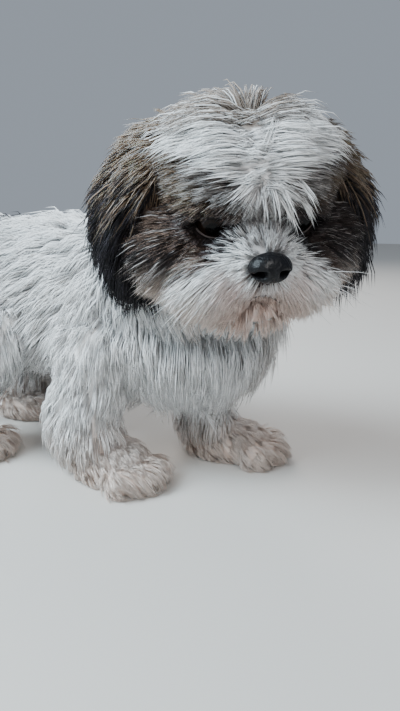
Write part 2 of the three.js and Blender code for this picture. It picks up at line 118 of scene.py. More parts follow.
class Form:
    """A rounded form: rings of an egg-shaped section along a smooth middle line. Each station is the middle,
    the half width, the height above, the height below and the tilt."""

    def __init__(self, stations, across, over, name):
        self.name = name
        self.middle = np.array([s[0] for s in stations], float)
        self.sizes = np.array([(list(s[1:]) + [0])[:4] for s in stations], float)
        self.across, self.over = np.array(across, float), np.array(over, float)
        self.axis = np.cross(self.across, self.over)

    def between(self, values, t):
        """A cubic through the values at the stations, with each slope half the step across its neighbours."""
        n = len(values) - 1
        x = np.clip(t * n, 0, n - 1e-6)
        i = x.astype(int)
        f = (x - i)[..., None]
        p, q, r, s = [values[np.clip(i + k, 0, n)] for k in (-1, 0, 1, 2)]
        m0, m1 = (r - p) / 2, (s - q) / 2
        start, leaving = (2 * f**3 - 3 * f**2 + 1) * q, (f**3 - 2 * f**2 + f) * m0
        end, arriving = (3 * f**2 - 2 * f**3) * r, (f**3 - f**2) * m1
        return start + leaving + end + arriving

    def place(self, t, a, h=0.0):
        """The point at t along and angle a round, h above the surface: middle(t) + (width + h) cos a across
        + (rise + h) sin a over. The rise is the height above or below, and over leans by the tilt."""
        t, a = np.broadcast_arrays(np.asarray(t, float), np.asarray(a, float))
        size = self.between(self.sizes, t)
        width, above, below = [np.maximum(size[..., k], 0) for k in range(3)]
        tilt = size[..., 3]
        over = np.cos(tilt)[..., None] * self.over + np.sin(tilt)[..., None] * self.axis
        rise = np.where(np.sin(a) > 0, above, below)
        flat = ((width + h) * np.cos(a))[..., None] * self.across
        return self.between(self.middle, t) + flat + ((rise + h) * np.sin(a))[..., None] * over

    def normal(self, t, a):
        """The outward normal: a small step along crossed with one round, turned away from the middle."""
        d = 2e-3
        along = self.place(np.minimum(t + d, 1), a) - self.place(np.maximum(t - d, 0), a)
        n = unit(np.cross(along, self.place(t, a + 0.02) - self.place(t, a - 0.02)))
        out = self.place(t, a) - self.between(self.middle, t)
        return n * np.where((n * out).sum(-1) < 0, -1, 1)[..., None]

    def grid(self, along, round_, h=0.0):
        """Rings of points from one end to the other, closed at both ends, and the faces between them."""
        t, a = np.arange(1, along) / along, angles(round_)
        t, a = np.meshgrid(t, a, indexing="ij")
        ends = self.between(self.middle, np.array([0.0, 1.0]))
        points = np.concatenate([ends[:1], self.place(t, a, h).reshape(-1, 3), ends[1:]])
        return points, ring_faces(along - 1, round_)

    def sample(self, count):
        """Places spread evenly over the surface, with their normals and their places on the unrolled form."""
        t, a = rng.uniform(0.02, 0.98, count * 8), rng.uniform(0, 2 * math.pi, count * 8)
        along = self.place(np.minimum(t + 1e-3, 1), a) - self.place(t, a)
        area = norm(np.cross(along, self.place(t, a + 1e-3) - self.place(t, a)))
        pick = rng.choice(len(t), count, False, area / area.sum())
        t, a = t[pick], a[pick]
        return self.place(t, a), self.normal(t, a), np.stack([t, a / (2 * math.pi)], -1)

    def holds(self, p, h):
        """Whether each point lies inside: nearer to the middle line than the surface raised by h."""
        ts = np.linspace(0.03, 0.97, 36)
        line = self.between(self.middle, ts)
        way = unit(np.gradient(line, axis=0))
        off = p[:, None] - line[None]
        best = np.abs((off * way[None]).sum(-1)) + 0.25 * norm(off)
        k = best.argmin(1)
        rows = np.arange(len(p))
        rel = off[rows, k]
        level = np.abs((rel * way[k]).sum(-1)) < 6
        a = np.arctan2(rel @ self.over, rel @ self.across)
        reach = norm(self.place(ts[k], a, h) - line[k])
        return level & (norm(rel) < reach)


class Masses:
    """Rounded masses that melt into one, seen from a centre inside them all. Each mass is its place and its
    three radii in the given axes."""

    def __init__(self, centre, masses, axes, at, name):
        self.centre, self.axes, self.at, self.name = np.array(centre, float), axes, at, name
        self.masses = np.array(masses, float)

    def reach(self, d):
        """How far the surface lies from the centre along each direction: the 12th root of the sum of each
        mass's own distance to the 12th power, and that is the far root of its ellipsoid's quadratic."""
        total = 0
        for m in self.masses:
            start, way = (self.centre - m[:3]) / m[3:], d / m[3:]
            a, b, c = (way * way).sum(-1), (way * start).sum(-1), start @ start - 1
            root = np.maximum(b * b - a * c, 0)
            total = total + np.where(root > 0, np.maximum((-b + np.sqrt(root)) / a, 0), 0) ** 12
        return total ** (1 / 12)

    def place(self, d, h=0.0):
        """centre + d (reach + h), moved from the masses' axes to the body's frame."""
        return (self.centre + d * (self.reach(d) + h)[..., None]) @ self.axes + self.at

    def normal(self, d):
        """The outward normal: two small steps across the direction, crossed."""
        step = 0.02
        u = unit(np.cross(d, [0.31, 0.52, 0.79]))
        v = np.cross(d, u)
        here = self.place(d)
        n = unit(np.cross(self.place(unit(d + step * u)) - here, self.place(unit(d + step * v)) - here))
        return n * np.where((n * (d @ self.axes)).sum(-1) < 0, -1, 1)[..., None]

    def grid(self, along, round_):
        """Rings of points round the second axis from pole to pole, and the faces between them."""
        return self.place(globe(along, round_)[0]), ring_faces(along - 1, round_)

    def sample(self, count):
        """Places spread evenly over the surface, with their normals and their two angles on the globe."""
        d = unit(rng.normal(size=(count * 8, 3)))
        area = self.reach(d) ** 2 / np.maximum((self.normal(d) * (d @ self.axes)).sum(-1), 0.3)
        d = d[rng.choice(len(d), count, False, area / area.sum())]
        turn = np.arctan2(d[:, 2], d[:, 0]) / (2 * math.pi) + 0.5
        fall = np.arccos(np.clip(d[:, 1], -1, 1)) / math.pi
        return self.place(d), self.normal(d), np.stack([fall, turn], -1)

    def holds(self, p, h):
        """Whether each point lies inside the surface raised by h."""
        q = (p - self.at) @ self.axes.T - self.centre
        return norm(q) < self.reach(unit(q)) + h


def ring_faces(rings, round_):
    """Quads between rings of points and a fan at each end; the first and last points are the ends."""
    i, j = np.meshgrid(np.arange(rings - 1), np.arange(round_), indexing="ij")
    n = (j + 1) % round_
    at = lambda r, c: 1 + r * round_ + c
    quads = np.stack([at(i, j), at(i, n), at(i + 1, n), at(i + 1, j)], -1).reshape(-1, 4)
    j = np.arange(round_)
    n = (j + 1) % round_
    last = 1 + rings * round_
    first_fan = np.stack([np.zeros(round_, int), at(0, n), at(0, j)], -1)
    last_fan = np.stack([np.full(round_, last), at(rings - 1, j), at(rings - 1, n)], -1)
    return quads.tolist() + first_fan.tolist() + last_fan.tolist()


def globe(along, round_):
    """Directions in rings round the second axis from pole to pole, (sin f cos t, cos f, sin f sin t), and the
    angles: f of fall from the first pole and t of turn."""
    f, t = np.arange(1, along) * math.pi / along, angles(round_)
    f, t = np.meshgrid(f, t, indexing="ij")
    f, t = np.concatenate([[0], f.ravel(), [math.pi]]), np.concatenate([[0], t.ravel(), [0]])
    return columns(np.sin(f) * np.cos(t), np.cos(f), np.sin(f) * np.sin(t)), f, t


def head_axes_form(stations, across, over, name):
    """A form whose stations are given in the head's axes."""
    moved = [(head_at(s[0]), *s[1:]) for s in stations]
    return Form(moved, np.array(across, float) @ HEAD_AXES, np.array(over, float) @ HEAD_AXES, name)


TORSO = Form([
    ([13, -101, 90], 0, 0, 0), ([12, -94, 90], 26, 26, 27), ([6, -74, 90], 38, 40, 42),
    ([0, -46, 92], 39, 48, 43), ([-5, -14, 93], 38, 43, 41), ([-13, 16, 94], 38, 42, 38),
    ([-22, 42, 94], 36, 40, 35), ([-28, 57, 95], 30, 35, 32), ([-31, 66, 96], 18, 22, 20),
    ([-33, 70, 97], 0, 0, 0),
], (1, 0, 0), (0, 0, 1), "torso")
NECK_AXIS = unit(head_at([0, -14, -8]) - np.array([0, -58, 100]))
NECK_SIDE = unit(np.cross(NECK_AXIS, [0, 0, 1]))
NECK = Form([
    ([3, -46, 100], 0, 0, 0), ([2, -54, 106], 36, 43, 36), ([0, -72, 117], 38, 43, 38),
    ([-8, -90, 129], 37, 38, 36), (head_at([2, -14, -8]), 31, 29, 28), (head_at([0, -4, -6]), 0, 0, 0),
], NECK_SIDE, np.cross(NECK_SIDE, NECK_AXIS), "neck")
# The head is the skull, the short bridge, two cheeks and the two halves of the upper lip
HEAD = Masses([0, 9, -8], [
    [0, -2, 0, 35, 32, 26], [0, 27, -14, 16, 19, 13], [-24, 12, -22, 19, 17, 18],
    [24, 12, -22, 19, 17, 18], [-13, 31, -24, 16, 12, 13], [13, 31, -24, 16, 12, 13],
], HEAD_AXES, HEAD_AT, "head")
JAW = head_axes_form([
    ([0, 0, -41], 0, 0, 0), ([0, 6, -42], 24, 9, 7), ([0, 18, -43], 25, 10, 7),
    ([0, 30, -41], 20, 10, 7), ([0, 38, -38], 12, 7, 6), ([0, 41, -37], 0, 0, 0),
], (1, 0, 0), (0, 0, 1), "jaw")


def ear_form(s, name):
    """The flap of one ear, from high on the skull's side, out and down."""
    line = [
        ([24, -12, 18], 0, 0, 0), ([32, -12, 12], 14, 7, 7), ([43, -10, -2], 18, 8, 8),
        ([47, -6, -17], 19, 8, 9), ([46, 0, -33], 16, 7, 8), ([43, 6, -46], 0, 0, 0),
    ]
    line = [([s * x, y, z], *sizes) for (x, y, z), *sizes in line]
    return head_axes_form(line, (0, 1, 0), (1, 0, 0), name)


EARS = {"ear_left": ear_form(1, "ear_left"), "ear_right": ear_form(-1, "ear_right")}


def leg_form(middles, sizes, name):
    """A leg's column, from the shoulder or thigh down to the paw."""
    return Form([(m, *s) for m, s in zip(middles, sizes)], (1, 0, 0), (0, -1, 0), name)


FORE = [(0, 0, 0), (17, 19, 20), (17, 18, 19), (15, 16, 20), (13, 14, 19), (0, 0, 0)]
FORE_FAR = [(0, 0, 0), (17, 19, 20), (15, 17, 17), (12, 14, 14), (12, 13, 16), (0, 0, 0)]
HIND = [(0, 0, 0), (14, 26, 24), (14, 26, 24), (13, 17, 18), (12, 13, 13), (0, 0, 0)]
LEGS = {name: leg_form(middles, sizes, name) for name, sizes, middles in (
    ("foreleg_right", FORE, [
        [-27, -40, 94], [-29, -37, 84], [-32, -31, 62], [-36, -26, 40], [-35, -27, 20], [-32, -32, 8]]),
    ("foreleg_left", FORE_FAR, [
        [26, -58, 94], [26, -58, 84], [26, -58, 62], [27, -58, 40], [29, -60, 20], [33, -66, 8]]),
    ("hindleg_right", HIND, [
        [-46, 34, 100], [-50, 36, 88], [-54, 40, 66], [-58, 52, 44], [-60, 66, 24], [-60, 66, 8]]),
    ("hindleg_left", HIND, [
        [2, 50, 100], [4, 53, 88], [7, 59, 66], [10, 72, 44], [10, 86, 24], [9, 86, 8]]),
)}
TAIL = Form([
    ([-27, 52, 104], 0, 0, 0, -0.2), ([-30, 64, 105], 8, 7, 7, -0.3), ([-34, 81, 99], 8, 7, 7, -0.6),
    ([-37, 92, 85], 7, 6, 6, -0.9), ([-40, 100, 68], 6, 5, 5, -1.1), ([-42, 106, 52], 0, 0, 0, -1.1),
], (1, 0, 0), (0, 0, 1), "tail")

# Paws: where each stands, and how many degrees it turns out
PAW_PLACES = {
    "forepaw_right": ([-30, -39, 0], 2), "forepaw_left": ([35, -74, 0], -12),
    "hindpaw_right": ([-60, 60, 0], -18), "hindpaw_left": ([9, 80, 0], -26),
}
TOES = (-1.5, -0.5, 0.5, 1.5)
TOE_APART, TOE_REACH, TOE_R = 7.5, 21.0, 8.2


def paw_axes(degrees):
    """A paw's own axes: out to its side, fore along its toes, and upright."""
    a = math.radians(degrees)
    return np.array([[math.cos(a), -math.sin(a), 0], [-math.sin(a), -math.cos(a), 0], [0, 0, 1.0]])


def toe_front(k):
    """How far ahead of the paw's middle toe k stands, the outer toes further back."""
    return TOE_REACH - 2.2 * k * k


def paw_masses(name):
    """A paw as one mass for its body and one for each toe."""
    at, degrees = PAW_PLACES[name]
    toes = [[k * TOE_APART, toe_front(k), 6, 6.6, TOE_R, 7] for k in TOES]
    return Masses([0, 0, 8], [[0, -4, 8, 16, 24, 12], *toes], paw_axes(degrees), np.array(at, float), name)


PAWS = {name: paw_masses(name) for name in PAW_PLACES}


# Markings and painted shade: every colour is a function of the place, and skin and coat share it. In these
# functions the numbers are places and widths in millimetres, and smooth(x, low, high) is a border between
# two of them.
def srgb(text):
    """An sRGB hex colour as linear red, green and blue."""
    c = np.array([int(text[i : i + 2], 16) for i in (0, 2, 4)]) / 255
    return np.where(c <= 0.04045, c / 12.92, ((c + 0.055) / 1.055) ** 2.4)


WHITE, CREAM, PINK = srgb("f8f7f6"), srgb("dfc9ba"), srgb("c4988a")
TAN, BROWN, BLACK, GREY = srgb("745f4b"), srgb("32261f"), srgb("100e11"), srgb("a9a29e")
# The chest's tan and the bridge's grey are each partly painted shade: under the head and under the brow
CHEST_TAN_AND_SHADE, LID_TAN, BRIDGE_GREY_AND_SHADE = srgb("93847a"), srgb("7d6558"), srgb("77706e")
EYE_SKIN, NOSE_SKIN = srgb("120d0b"), srgb("3b302e")


def mix(a, b, f):
    """From a to b by the share f."""
    return a + (b - a) * np.clip(f, 0, 1)[..., None]


def white_half(u):
    """Half the width of the white on the face at the height u: a wide brow that narrows to the stop, a thin
    bridge, and a muzzle that widens down to the cheeks."""
    heights = [-36, -30, -25, -16.4, -11.6, -3.3, 0, 5, 10, 13, 15.5, 18, 21]
    return np.interp(u, heights, [60, 44, 32, 24, 14, 7.5, 5.5, 4.5, 4.5, 7, 11, 19, 60])


def markings_and_shade(p, wander):
    """The coat's colour at each place, with painted shade low on the thighs, on the chest's left front, on
    the bridge and on the face's left side. wander, from 0 to 1 for each hair, makes the borders mingle.
    """
    w = wander - 0.5
    q = in_head(p)
    left = smooth(q[:, 0], 2, 12)
    s, a, u = np.abs(q[:, 0] + 0.5), q[:, 1], q[:, 2]
    rump = smooth(p[:, 1] + 26 * w + 8 * ripple(p, 40, 3), 12, 46) * smooth(p[:, 2] + 30 * w, 90, 122)
    body = mix(WHITE, BLACK, rump * (wander > 0.45))
    # painted shade: low on the hindquarters the white is mixed towards grey and brown
    thigh = smooth(p[:, 1] + 14 * w, 12, 34) * (1 - smooth(p[:, 2], 80, 96)) * smooth(p[:, 2], 34, 56)
    body = mix(body, mix(GREY, BROWN, wander), thigh * 0.8)
    body = mix(body, CREAM, (1 - smooth(p[:, 2], 4, 52)) * 0.9)
    # the chest's left front is mixed towards a grey tan: partly tan hair, partly painted shade under the head
    chest = smooth(p[:, 0], 2, 20) * smooth(-p[:, 1], 50, 76)
    chest = chest * smooth(p[:, 2], 40, 60) * (1 - smooth(p[:, 2], 100, 124))
    body = mix(body, CHEST_TAN_AND_SHADE, chest * (0.25 + 0.5 * wander))
    # the face: black round the eyes and low on the cheeks, tan and grey above and outside them
    eyes = np.hypot(s - EYE_S, u - EYE_U)
    dark = mix(BROWN, BLACK, smooth(12 + 6 * w - eyes, -3, 5) * 0.9)
    dark = mix(dark, TAN, smooth(u + 6 * w, 0, 9) * smooth(s + 8 * w, 14, 24) * 0.7)
    below = smooth(-u + 5 * w, 7, 13) * (1 - smooth(s, 20, 28)) * smooth(eyes, 7, 11)
    dark = mix(dark, LID_TAN, below * 0.6)
    dark = mix(dark, BLACK, smooth(s + 8 * w, 20, 28) * smooth(-u + 6 * w, 7, 14) * 0.9)
    # painted shade: on the head's left side, away from the light, the dark hair is made blacker
    dark = mix(dark, BLACK, 0.6 * left)
    dark = mix(dark, GREY, (wander > 0.88) * smooth(eyes, 8, 12) * 0.7)
    # the blaze, the greyer hair over the bridge and the stop, painted shade of the brow on the bridge, and
    # the cream and pink of the muzzle
    blaze = white_half(u) + 2.5 * w + ripple(p, 14, 4) - s - 3 * left * smooth(u, 6, 12)
    face = mix(dark, WHITE, smooth(blaze, -1.2, 1.2))
    bridge = smooth(9 - s, 0, 5) * smooth(u, -11, -5) * (1 - smooth(u, 8, 13)) * smooth(a, 24, 30)
    shaded_bridge = mix(BRIDGE_GREY_AND_SHADE, BROWN, smooth(u, 0, 6) * 0.7)
    face = mix(face, shaded_bridge, bridge * (0.5 + 0.45 * wander))
    stop = smooth(24 - s, 0, 8) * smooth(u, 6, 10) * (1 - smooth(u, 14, 20)) * smooth(a, 12, 20)
    face = mix(face, GREY, stop * (0.2 + 0.3 * wander))
    face = mix(face, CREAM, smooth(-u, 14, 26) * smooth(a, 6, 24) * 0.85)
    chin = smooth(15 + 6 * w - np.hypot(s * 0.8, u + 30), -3, 8) * smooth(a, 24, 34)
    face = mix(face, PINK, chin * 0.42)
    lips = smooth(5 + 3 * w - np.abs(s - 11), -2, 3) * smooth(4 - np.abs(u + 17), -2, 3) * smooth(a, 32, 38)
    face = mix(face, PINK, lips * 0.4)
    # behind the crown the coat is tan down to the nape, and then white
    patch = 16 * smooth(14 - np.abs(q[:, 0] + 6), -4, 6)
    back = smooth(-a + 7 * w + 3 * ripple(p, 20, 5) + patch, 4, 12) * smooth(u + 0.4 * s, 6, 14)
    rear = mix(TAN, mix(BROWN, WHITE, wander > 0.8), smooth(wander, 0.4, 0.8))
    face = mix(face, rear, back * 0.85)
    face = mix(face, WHITE, smooth(-a, 14, 26) * (1 - smooth(u, -6, 8)))
    return np.where(HEAD.holds(p, 14)[:, None], face, body)


def ear_colour(p, wander):
    """An ear is tan where it springs from the head, browner in some hairs and on the left one, where that is
    painted shade, and black down its lower half.
    """
    q = in_head(p)
    w = wander - 0.5
    black = smooth(-q[:, 2] + 8 + 15 * w + 4 * ripple(p, 22, 6), 0, 9)
    browner_and_shaded = smooth(wander + 0.5 * smooth(q[:, 0], 0, 10), 0.35, 0.8)
    tan = mix(TAN, BROWN, browner_and_shaded * 0.8)
    return mix(mix(tan, GREY, (wander > 0.9) * 0.6), BLACK, black)


def tail_colour(p, wander):
    """The plume is black at its root and mostly white at its end."""
    return mix(BLACK, WHITE, smooth(112 - p[:, 2] + 30 * (wander - 0.5), 14, 36))


def fringe_colour(p, wander):
    """The strands over the stop run from white to half grey."""
    return mix(WHITE, GREY, wander * 0.5)


# The lie of the coat: the way that the hair points at each place
def torso_lie(p):
    """Down the chest, and from the shoulder on more and more rearward."""
    return columns(0.0, -0.1 + 1.1 * smooth(p[:, 1], -80, 0), -0.8)


def neck_lie(p):
    """Down the ruff, and high on the nape also rearward."""
    return columns(0.1, 0.6 * smooth(p[:, 2], 120, 160), -1.0)


PARTING_TOP, PARTING_FOOT = np.array([-1, -1, 27.0]), np.array([-1, 25, 15.0])


def head_lie(p):
    """On the brow the hair falls away from the nearest place on the parting, and from the muzzle it fans out
    and up the bridge. The first gives way to the second below the eyes' height."""
    q = in_head(p)
    brow = smooth(q[:, 2] - 9 * np.exp(-((q[:, 0] / 9) ** 2)), -5, 1)[:, None]
    line = PARTING_FOOT - PARTING_TOP
    along = np.clip((q - PARTING_TOP) @ line / (line @ line), 0, 1)[:, None]
    away = unit(q - PARTING_TOP - along * line) * brow + unit(q - [0, 44, -8]) * (1 - brow)
    away[:, 2] -= 0.8 * (1 - brow[:, 0]) * smooth(np.abs(q[:, 0]), 6, 18)
    return away @ HEAD_AXES


def parting_lie(p):
    """Along the parting each hair falls to one side or the other."""
    side = np.where(rng.uniform(size=(len(p), 1)) < 0.5, -1.0, 1.0)
    return (side * [1.0, 0, 0] + [0, 0.25, 0] + 0.12 * rng.normal(size=p.shape)) @ HEAD_AXES


def fringe_lie(p):
    """The strands that hang over the stop and the eyes' inner corners."""
    q = in_head(p)
    return columns(q[:, 0] * 0.07 + 0.12, 0.5, -0.9) @ HEAD_AXES


def ear_lie(p):
    """At an ear's root the hair sweeps outward, and lower it hangs."""
    q = in_head(p)
    out = np.sign(q[:, 0]) * 0.7 * smooth(q[:, 2], -12, 8)
    return columns(out, -0.15, -1.0) @ HEAD_AXES


DOWN = np.array([0.0, 0.12, -1.0])
DOWN_AND_BACK = np.array([-0.1, 0.45, -0.9])


def paw_lie(name):
    """Forward along the toes and down, the same at each place."""
    return paw_axes(PAW_PLACES[name][1])[1] * 0.8 + np.array([0, 0, -0.55])


def head_length(p):
    """How long the hair is on the head: full on the crown and cheeks, short above the eyes, and shortest
    round the lids, the mouth and the bridge, from where it lengthens with the distance."""
    q = in_head(p)
    s, a, u = np.abs(q[:, 0]), q[:, 1], q[:, 2]
    eyes = norm(np.stack([s - EYE_S, a - EYE_A - 5, u - EYE_U], -1))
    bridge = norm(q - [0, 41, -8])
    mouth = norm(q - [0, 44, -25])
    brow = 6.5 + 14 * smooth(u, 7, 22)
    cheek = 12 + 6 * smooth(s, 14, 30)
    full = np.where(u > 0, np.where(a > 6, brow, 20), cheek)
    near_eyes, near_nose = 3.6 + 0.95 * np.maximum(eyes - 8, 0), 4.2 + 0.8 * np.maximum(bridge - 8, 0)
    return np.minimum.reduce([full, near_eyes, near_nose, 3.2 + 0.9 * np.maximum(mouth - 4, 0)])


LID_R = 10.8


def over_lids(p):
    """Roots near an eye move out onto the lids, which stand proud of the skull: to LID_R from its middle."""
    q = in_head(p)
    for s in (-1, 1):
        off = q - [s * EYE_S, EYE_A, EYE_U]
        r = norm(off)
        near = (r < LID_R) & (off[:, 1] > -5)
        q[near] += off[near] * (LID_R / r[near] - 1)[:, None]
    return head_at(q)


def ear_length(p):
    """An ear's hair is shorter where it springs from the head."""
    return 13 + 9 * smooth(-in_head(p)[:, 2], -12, 6)


# Where each form lies on the coat's unrolled sheet, four to a row: its corner and its size
SHEET = {}
for k, name in enumerate(["torso", "neck", "head", "jaw", "ear_left", "ear_right", "tail", *LEGS, *PAWS]):
    SHEET[name] = (0.01 + 0.25 * (k % 4), 0.01 + 0.25 * (k // 4), 0.22, 0.22)


SHARE = 1  # of the clumps


def hairs(surface, clumps, each, look, lie, colour, others=(), keep=None):
    """Clumps of hairs on a surface. A clump's hairs stand round its middle and lean together at their tips.
    Each hair runs from its root out along the normal and over along the lie, and sinks as the body curves
    away: root + lie L s + normal (H (1 - (1 - s)^2) - (L s)^2 / (2 R)) - droop s^2 up, where L is its length,
    H how far it stands off and R the body's radius. No hair springs from the soles or inside the others."""
    p, n, sheet = surface.sample(int(clumps * SHARE))
    p = look["lift"](p) if "lift" in look else p
    free = p[:, 2] > 2.0
    for other, h in others:
        free &= ~other.holds(p, h)
    if keep is not None:
        free &= keep(p)
    p, n, sheet = p[free], n[free], sheet[free]
    long = look["length"](p) if callable(look["length"]) else np.full(len(p), float(look["length"]))
    drift = columns(ripple(p, 34, 7), ripple(p, 34, 8), ripple(p, 34, 9))
    way = unit(lie(p) if callable(lie) else lie) + look.get("sway", 0.2) * drift
    way = unit(way - (way * n).sum(-1, keepdims=True) * n + 0.05 * rng.normal(size=p.shape))
    cross = np.cross(n, way)
    count = len(p) * each
    rep = lambda x: np.repeat(x, each, axis=0)
    spread = look["clump"] * np.sqrt(rng.uniform(0, 1, count)) * (0.45 + 0.55 * rep(np.clip(long / 18, 0, 1)))
    turn = rng.uniform(0, 2 * math.pi, count)
    shift = (spread * np.cos(turn))[:, None] * rep(way) + (spread * np.sin(turn))[:, None] * rep(cross)
    length = rep(long * rng.uniform(0.85, 1.15, len(p))) * rng.uniform(0.7, 1.1, count)
    stand = look["stand"] * length * rng.uniform(0.7, 1.15, count)
    root = rep(p) + shift + rep(n) * look.get("root", -0.4)
    wander = rng.uniform(0, 1, count)
    stray = look.get("stray", 0.06) * rng.normal(size=(count, 3))
    droop = look["droop"] * length * rng.uniform(0.6, 1.2, count)
    rows = np.linspace(0, 1, look.get("rows", 3)) ** 0.9
    path = []
    for s in rows:
        out = stand * (1 - (1 - s) ** 2) - (length * s) ** 2 / (2 * look["round"]) + 1.2 * s
        point = root + rep(way) * (length * s)[:, None] + rep(n) * out[:, None]
        point = point - shift * (look["lean"] * s**1.5) + stray * (length * s * s)[:, None]
        point[:, 2] -= droop * s * s
        point[:, 2] = np.maximum(point[:, 2], 0.6 + 0.3 * wander)
        path.append(point)
    u0, v0, du, dv = SHEET[surface.name]
    flat = rep(np.stack([u0 + du * sheet[:, 0], v0 + dv * sheet[:, 1]], -1))
    tint = colour(root, wander)
    shade = 1 + look.get("vary", 0.07) * rng.normal(size=count)[:, None]
    thin = look["width"] * (0.55 + 0.45 * np.clip(length / 18, 0, 1)) * rng.uniform(0.75, 1.25, count)
    return dict(path=np.stack(path, 1), width=thin, flat=flat, tint=np.clip(tint * shade, 0.002, 0.97))


def new_object(name, data):
    """An object of the given data, linked to the scene."""
    obj = bpy.data.objects.new(name, data)
    bpy.context.scene.collection.objects.link(obj)
    return obj


def to_row(points):
    """Millimetres in the body's frame to metres in the row's frame."""
    return ((np.asarray(points) + OFFSET) * MM).astype(np.float32)


def mesh_from(name, points, faces):
    """A closed, smooth mesh. All its faces are turned round where its volume, the sum of a . (b x c) over its
    triangles, comes out negative."""
    mesh = bpy.data.meshes.new(name)
    mesh.from_pydata(to_row(points).tolist(), [], faces)
    fans = np.array([(face[0], face[i], face[i + 1]) for face in faces for i in range(1, len(face) - 1)])
    a, b, c = [(points - points.mean(0))[fans[:, i]] for i in range(3)]
    if (a * np.cross(b, c)).sum() < 0:
        mesh.flip_normals()
    mesh.polygons.foreach_set("use_smooth", np.ones(len(mesh.polygons), bool))
    return mesh
def paint(mesh, name, tint):
    """A colour for each point of a mesh, under the name that its material looks up."""
    colour = np.ones((len(mesh.vertices), 4), np.float32)
    colour[:, :3] = tint
    mesh.attributes.new(name, "FLOAT_COLOR", "POINT").data.foreach_set("color", colour.ravel())


def tuft_mesh(name, coat):
    """Every hair as a closed three-sided taper: rings along its path, and a point at its tip."""
    path, width, flat, tint = coat["path"], coat["width"], coat["flat"], coat["tint"]
    count, rings = len(path), path.shape[1] - 1
    corners = rings * 3 + 1
    way = unit(np.gradient(path, axis=1))
    one = unit(np.cross(way, np.array([0.3, 0.5, 0.81])))
    two = np.cross(way, one)
    taper = np.interp(np.arange(rings) / rings, [0, 0.4, 1], [0.85, 1.0, 0.35])
    turn = angles(3)
    cos, sin = np.cos(turn)[None, None, :, None], np.sin(turn)[None, None, :, None]
    ring = one[:, :rings, None] * cos + two[:, :rings, None] * sin
    round_ = path[:, :rings, None] + ring * (width[:, None] * taper / 2)[:, :, None, None]
    verts = np.concatenate([round_.reshape(count, rings * 3, 3), path[:, rings:]], 1)
    j = np.arange(3)
    k = (j + 1) % 3
    starts = range(0, rings * 3 - 3, 3)
    quads = np.concatenate([np.stack([b + j, b + k, b + 3 + k, b + 3 + j], -1) for b in starts])
    tips = np.stack([rings * 3 - 3 + j, rings * 3 - 3 + k, np.full(3, rings * 3)], -1)
    loops_one = np.concatenate([quads.ravel(), tips.ravel(), [2, 1, 0]])
    sizes = np.tile(np.array([4] * len(quads) + [3] * 4), count)
    loops = (np.arange(count)[:, None] * corners + loops_one[None]).ravel().astype(np.int32)
    mesh = bpy.data.meshes.new(name)
    mesh.vertices.add(count * corners)
    mesh.vertices.foreach_set("co", to_row(verts.reshape(-1, 3)).ravel())
    mesh.loops.add(len(loops))
    mesh.loops.foreach_set("vertex_index", loops)
    mesh.polygons.add(len(sizes))
    mesh.polygons.foreach_set("loop_start", (np.cumsum(sizes) - sizes).astype(np.int32))
    mesh.polygons.foreach_set("use_smooth", np.ones(len(sizes), bool))
    mesh.update(calc_edges=True)
    rise = np.concatenate([np.repeat(np.arange(rings) / rings, 3), [1.0]])
    # painted shade: each hair darkens towards its root, deep in the coat, and is a little lighter at its tip
    root_shade = 0.93 + 0.09 * rise
    paint(mesh, "coat_colour", np.clip(tint[:, None] * root_shade[None, :, None], 0, 0.97).reshape(-1, 3))
    across = np.concatenate([np.tile(np.cos(turn), rings), [0]])
    spot = np.stack([across, rise * 2 - 1], -1) * 0.0013
    uv = mesh.uv_layers.new(name="OFBake")
    uv.data.foreach_set("uv", (flat[:, None] + spot[None]).reshape(-1, 2)[loops].astype(np.float32).ravel())
    mesh.validate()
    return mesh


# Materials. Cells of each pattern to a metre, 1000 over its size in millimetres: streaks along a hair 2.4 mm,
# creases of skin 1.1 mm, pebbles of the nose 0.7 mm and of a pad 1.1 mm, damp patches 3.8 mm, and the
# floor's mottling 170 mm
STREAKS, CREASES, NOSE_PEBBLES, PAD_PEBBLES, PATCHES, MOTTLING = 420.0, 900.0, 1400.0, 900.0, 260.0, 6.0


def add(tree, kind, links=(), **settings):
    """One shader node with its settings, in the order given, and links of (input, output it comes from)."""
    node = tree.nodes.new(kind)
    for key, value in settings.items():
        if hasattr(node, key):
            setattr(node, key, value)
        else:
            node.inputs[key.replace("_", " ")].default_value = value
    for name, output in links:
        tree.links.new(output, node.inputs[name])
    return node


def material(name, links_of, **settings):
    """A material of one Principled surface. links_of adds the nodes that feed it and gives its links."""
    made = bpy.data.materials.new(name)
    made.use_nodes = True
    tree = made.node_tree
    tree.nodes.clear()
    surface = add(tree, "ShaderNodeBsdfPrincipled", links_of(tree), **settings)
    add(tree, "ShaderNodeOutputMaterial", [("Surface", surface.outputs[0])])
    return made


def hair_links(tree):
    """Each hair's own colour, with painted shade that darkens it towards its root, times streaks along it."""
    tint = add(tree, "ShaderNodeAttribute", attribute_name="coat_colour")
    place = add(tree, "ShaderNodeTexCoord")
    streak = add(tree, "ShaderNodeTexNoise", [("Vector", place.outputs["Object"])], Scale=STREAKS, Detail=2.0)
    ramp = add(tree, "ShaderNodeMapRange", [("Value", streak.outputs["Fac"])], To_Min=0.86, To_Max=1.1)
    both = [("A", tint.outputs["Color"]), ("B", ramp.outputs[0])]
    shade = add(tree, "ShaderNodeMix", both, data_type="RGBA", blend_type="MULTIPLY", Factor=1.0)
    return [("Base Color", shade.outputs["Result"])]


